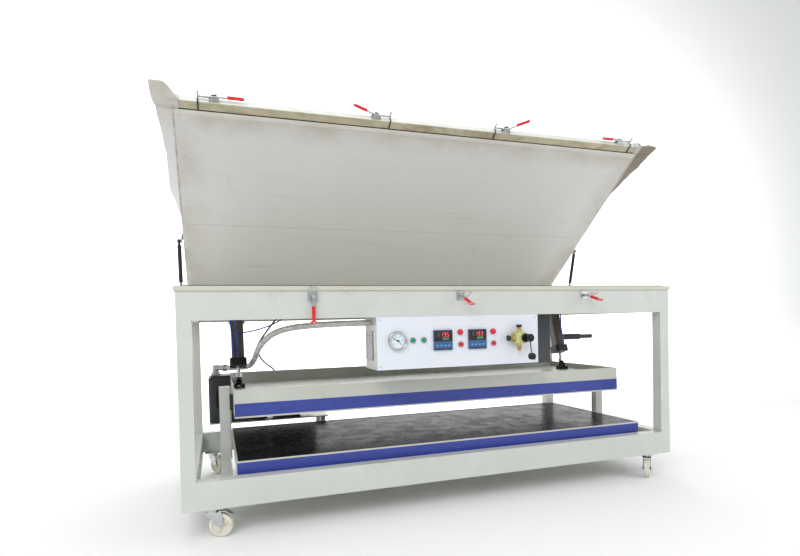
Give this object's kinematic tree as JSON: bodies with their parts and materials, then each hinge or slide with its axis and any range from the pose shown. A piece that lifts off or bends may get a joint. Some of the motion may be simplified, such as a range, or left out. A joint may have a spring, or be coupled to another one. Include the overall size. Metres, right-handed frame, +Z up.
{
  "type": "vacuum forming machine",
  "caption": "Flat-bed vacuum former: two heated platens under a vacuum table, and a hinged membrane lid with toggle clamps, gas struts, pump and casters.",
  "frame": {"origin": "on the floor, under the middle of the machine's overall box with the lid open", "axes": "+X to the right along the machine's length, +Y to the back, +Z up"},
  "size_m": [2.78, 1.3954, 1.9881],
  "materials": {
    "blue_tube": "blue polyurethane",
    "zinc": "zinc-plated, bright",
    "green_plastic": "green, glossy",
    "red_plastic": "red, glossy",
    "fork_black": "black enamel",
    "wheel_cream": "cream nylon",
    "bar_cream": "cream enamel, worn and stained",
    "box_paint": "light grey enamel",
    "panel_white": "white panel, semi-gloss",
    "frame_paint": "light grey-green enamel, semi-gloss",
    "needle_black": "black",
    "valve_body": "pale yellow-green casting with brass fittings",
    "red_grip": "red dipped vinyl grip on a zinc lever",
    "cylinder_metal": "dark anodised extrusion with black caps",
    "dark_steel": "dark oxide steel",
    "heating_plate": "milled and slightly scratched",
    "platen_paint": "light grey-green enamel with a blue front stripe",
    "silicone": "matt whitish silicone sheet",
    "chrome": "bright chrome rings with a white dial and red lenses",
    "cable_black": "black sheath",
    "motor_grey": "dark grey, satin",
    "gas_strut": "black",
    "black_rubber": "smooth black rubber",
    "controller": "dark blue-grey plastic with lit digits",
    "clear_hose": "translucent, greyish",
    "pipe_metal": "galvanised pipe",
    "pump_black": "black, satin",
    "table_cream": "cream enamel",
    "dark_cabinet": "dark grey enamel",
    "black_plastic": "black, glossy"
  },
  "bodies": {
    "frame": {"long_beams": "frame_paint", "cross_rails": "frame_paint", "uprights": "frame_paint", "vacuum_table": "table_cream", "table_seal": "black_rubber", "vacuum_pipes": "pipe_metal", "lower_platen_housing": "platen_paint", "lower_heating_plate": "heating_plate", "frame_brackets": "zinc", "latch_bases": "zinc", "control_box": "box_paint", "control_panel": "panel_white", "panel_fittings": "chrome", "temperature_controllers": "controller", "hand_valve": "valve_body", "valve_cabinet": "dark_cabinet", "vacuum_pump": "pump_black", "pump_motor": "motor_grey", "vacuum_hose": "clear_hose", "power_cable": "cable_black", "caster_plates": "zinc"},
    "raised_platen": {"upper_platen_housing": "platen_paint", "upper_heating_plate": "heating_plate", "platen_fittings": "dark_steel"},
    "cylinder_barrels": {"lift_barrels": "cylinder_metal", "air_tubes": "blue_tube"},
    "cylinder_rods": {"lift_rods": "dark_steel"},
    "lid": {"lid_frame": "frame_paint", "membrane": "silicone", "clamp_bar": "bar_cream", "lid_clamp_bases": "zinc"},
    "lid_strut_rods": {"strut_rods": "dark_steel"},
    "lid_strut_bodies": {"strut_bodies": "gas_strut"},
    "lid_clamp_handle_1": {"lid_clamp_handle_1": "red_grip"},
    "lid_clamp_handle_2": {"lid_clamp_handle_2": "red_grip"},
    "lid_clamp_handle_3": {"lid_clamp_handle_3": "red_grip"},
    "lid_clamp_handle_4": {"lid_clamp_handle_4": "red_grip"},
    "side_clamp_handle_left": {"side_clamp_handle_left": "red_grip"},
    "side_clamp_handle_right": {"side_clamp_handle_right": "red_grip"},
    "latch_handle_left": {"latch_handle_left": "red_grip"},
    "latch_bail_left": {"latch_bail_left": "zinc"},
    "latch_handle_middle": {"latch_handle_middle": "red_grip"},
    "latch_bail_middle": {"latch_bail_middle": "zinc"},
    "latch_handle_right": {"latch_handle_right": "red_grip"},
    "latch_bail_right": {"latch_bail_right": "zinc"},
    "gauge_needle": {"gauge_needle": "needle_black"},
    "valve_lever": {"valve_lever": "black_plastic"},
    "button_green_1": {"button_green_1": "green_plastic"},
    "button_green_2": {"button_green_2": "green_plastic"},
    "button_red_1": {"button_red_1": "red_plastic"},
    "button_red_2": {"button_red_2": "red_plastic"},
    "caster_fork_front_left": {"caster_fork_front_left": "zinc"},
    "caster_wheel_front_left": {"caster_wheel_front_left": "wheel_cream"},
    "brake_pedal": {"brake_pedal": "zinc"},
    "caster_fork_front_right": {"caster_fork_front_right": "fork_black"},
    "caster_wheel_front_right": {"caster_wheel_front_right": "wheel_cream"},
    "caster_fork_rear_left": {"caster_fork_rear_left": "zinc"},
    "caster_wheel_rear_left": {"caster_wheel_rear_left": "wheel_cream"},
    "caster_fork_rear_right": {"caster_fork_rear_right": "zinc"},
    "caster_wheel_rear_right": {"caster_wheel_rear_right": "wheel_cream"}
  },
  "joints": [
    {"name": "platen_lift", "type": "slide", "parent": "frame", "child": "raised_platen", "axis": [0, 0, -1], "range_m": [0, 0.15]},
    {"name": "cylinder_swing", "type": "hinge", "parent": "frame", "child": "cylinder_barrels", "pos_m": [0, 0.1917, 0.985], "axis": [1, 0, 0], "range_deg": [0, 4.69]},
    {"name": "cylinder_stroke", "type": "slide", "parent": "cylinder_barrels", "child": "cylinder_rods", "axis": [0, -0.2816, -0.9595], "range_m": [0, 0.1458]},
    {"name": "lid_hinge", "type": "hinge", "parent": "frame", "child": "lid", "pos_m": [0, 0.6817, 1.1], "axis": [1, 0, 0], "range_deg": [0, 39]},
    {"name": "strut_swing", "type": "hinge", "parent": "frame", "child": "lid_strut_rods", "pos_m": [0, 0.4367, 0.945], "axis": [1, 0, 0], "range_deg": [0, 37.81]},
    {"name": "strut_stroke", "type": "slide", "parent": "lid_strut_rods", "child": "lid_strut_bodies", "axis": [0, 0.2453, -0.9694], "range_m": [0, 0.1939]},
    {"name": "lid_clamp_1", "type": "hinge", "parent": "lid", "child": "lid_clamp_handle_1", "pos_m": [-1.098, -0.3626, 1.94604], "axis": [0, -0.6293, -0.7771], "range_deg": [0, 90]},
    {"name": "lid_clamp_2", "type": "hinge", "parent": "lid", "child": "lid_clamp_handle_2", "pos_m": [-0.358, -0.3626, 1.94604], "axis": [0, 0.6293, 0.7771], "range_deg": [-18, 72]},
    {"name": "lid_clamp_3", "type": "hinge", "parent": "lid", "child": "lid_clamp_handle_3", "pos_m": [0.403, -0.3626, 1.94604], "axis": [0, -0.6293, -0.7771], "range_deg": [-28, 62]},
    {"name": "lid_clamp_4", "type": "hinge", "parent": "lid", "child": "lid_clamp_handle_4", "pos_m": [1.132, -0.3626, 1.94604], "axis": [0, 0.6293, 0.7771], "range_deg": [0, 90]},
    {"name": "side_clamp_left", "type": "hinge", "parent": "lid", "child": "side_clamp_handle_left", "pos_m": [-1.265, -0.03048, 1.74916], "axis": [1, 0, 0], "range_deg": [0, 90]},
    {"name": "side_clamp_right", "type": "hinge", "parent": "lid", "child": "side_clamp_handle_right", "pos_m": [1.265, -0.03048, 1.74916], "axis": [1, 0, 0], "range_deg": [0, 90]},
    {"name": "latch_left", "type": "hinge", "parent": "frame", "child": "latch_handle_left", "pos_m": [-0.722, -0.5793, 1.027], "axis": [-1, 0, 0], "range_deg": [0, 84]},
    {"name": "bail_left", "type": "hinge", "parent": "latch_handle_left", "child": "latch_bail_left", "pos_m": [-0.722, -0.5793, 1.007], "axis": [1, 0, 0], "range_deg": [0, 168]},
    {"name": "latch_middle", "type": "hinge", "parent": "frame", "child": "latch_handle_middle", "pos_m": [0, -0.5793, 1.027], "axis": [-1, 0, 0], "range_deg": [-68, 16]},
    {"name": "bail_middle", "type": "hinge", "parent": "latch_handle_middle", "child": "latch_bail_middle", "pos_m": [0, -0.59784, 1.01951], "axis": [1, 0, 0], "range_deg": [-136, 32]},
    {"name": "latch_right", "type": "hinge", "parent": "frame", "child": "latch_handle_right", "pos_m": [0.722, -0.5793, 1.027], "axis": [-1, 0, 0], "range_deg": [-75, 9]},
    {"name": "bail_right", "type": "hinge", "parent": "latch_handle_right", "child": "latch_bail_right", "pos_m": [0.722, -0.59862, 1.02182], "axis": [1, 0, 0], "range_deg": [-150, 18]},
    {"name": "gauge_reading", "type": "hinge", "parent": "frame", "child": "gauge_needle", "pos_m": [-0.331, -0.5743, 0.817], "axis": [0, 1, 0], "range_deg": [-40, 200]},
    {"name": "valve_turn", "type": "hinge", "parent": "frame", "child": "valve_lever", "pos_m": [0.334, -0.6303, 0.813], "axis": [0, -1, 0], "range_deg": [0, 90]},
    {"name": "press_green_1", "type": "slide", "parent": "frame", "child": "button_green_1", "axis": [0, 1, 0], "range_m": [0, 0.004], "stiffness_N_per_m": 500},
    {"name": "press_green_2", "type": "slide", "parent": "frame", "child": "button_green_2", "axis": [0, 1, 0], "range_m": [0, 0.004], "stiffness_N_per_m": 500},
    {"name": "press_red_1", "type": "slide", "parent": "frame", "child": "button_red_1", "axis": [0, 1, 0], "range_m": [0, 0.004], "stiffness_N_per_m": 500},
    {"name": "press_red_2", "type": "slide", "parent": "frame", "child": "button_red_2", "axis": [0, 1, 0], "range_m": [0, 0.004], "stiffness_N_per_m": 500},
    {"name": "caster_swivel_front_left", "type": "hinge", "parent": "frame", "child": "caster_fork_front_left", "pos_m": [-1.17, -0.5133, 0.112], "axis": [0, 0, 1], "continuous": true},
    {"name": "caster_roll_front_left", "type": "hinge", "parent": "caster_fork_front_left", "child": "caster_wheel_front_left", "pos_m": [-1.13523, -0.52262, 0.05], "axis": [-0.2588, -0.9659, 0], "continuous": true},
    {"name": "brake_press", "type": "hinge", "parent": "caster_fork_front_left", "child": "brake_pedal", "pos_m": [-1.13619, -0.52236, 0.107], "axis": [0.2588, 0.9659, 0], "range_deg": [0, 14]},
    {"name": "caster_swivel_front_right", "type": "hinge", "parent": "frame", "child": "caster_fork_front_right", "pos_m": [1.17, -0.5133, 0.112], "axis": [0, 0, 1], "continuous": true},
    {"name": "caster_roll_front_right", "type": "hinge", "parent": "caster_fork_front_right", "child": "caster_wheel_front_right", "pos_m": [1.14545, -0.53963, 0.05], "axis": [-0.7314, 0.682, 0], "continuous": true},
    {"name": "caster_swivel_rear_left", "type": "hinge", "parent": "frame", "child": "caster_fork_rear_left", "pos_m": [-1.17, 0.5867, 0.112], "axis": [0, 0, 1], "continuous": true},
    {"name": "caster_roll_rear_left", "type": "hinge", "parent": "caster_fork_rear_left", "child": "caster_wheel_rear_left", "pos_m": [-1.14987, 0.55685, 0.05], "axis": [-0.829, -0.5592, 0], "continuous": true},
    {"name": "caster_swivel_rear_right", "type": "hinge", "parent": "frame", "child": "caster_fork_rear_right", "pos_m": [1.17, 0.5867, 0.112], "axis": [0, 0, 1], "continuous": true},
    {"name": "caster_roll_rear_right", "type": "hinge", "parent": "caster_fork_rear_right", "child": "caster_wheel_rear_right", "pos_m": [1.188, 0.61788, 0.05], "axis": [0.866, -0.5, 0], "continuous": true}
  ],
  "couplings": [
    {"joint": "cylinder_swing", "follows": "platen_lift", "rad_per_m": 0.54},
    {"joint": "cylinder_stroke", "follows": "platen_lift", "ratio": 0.9685},
    {"joint": "strut_swing", "follows": "lid_hinge", "ratio": 0.9669},
    {"joint": "strut_stroke", "follows": "lid_hinge", "m_per_rad": 0.2842},
    {"joint": "bail_left", "follows": "latch_left", "ratio": 2},
    {"joint": "bail_middle", "follows": "latch_middle", "ratio": 2},
    {"joint": "bail_right", "follows": "latch_right", "ratio": 2}
  ]
}
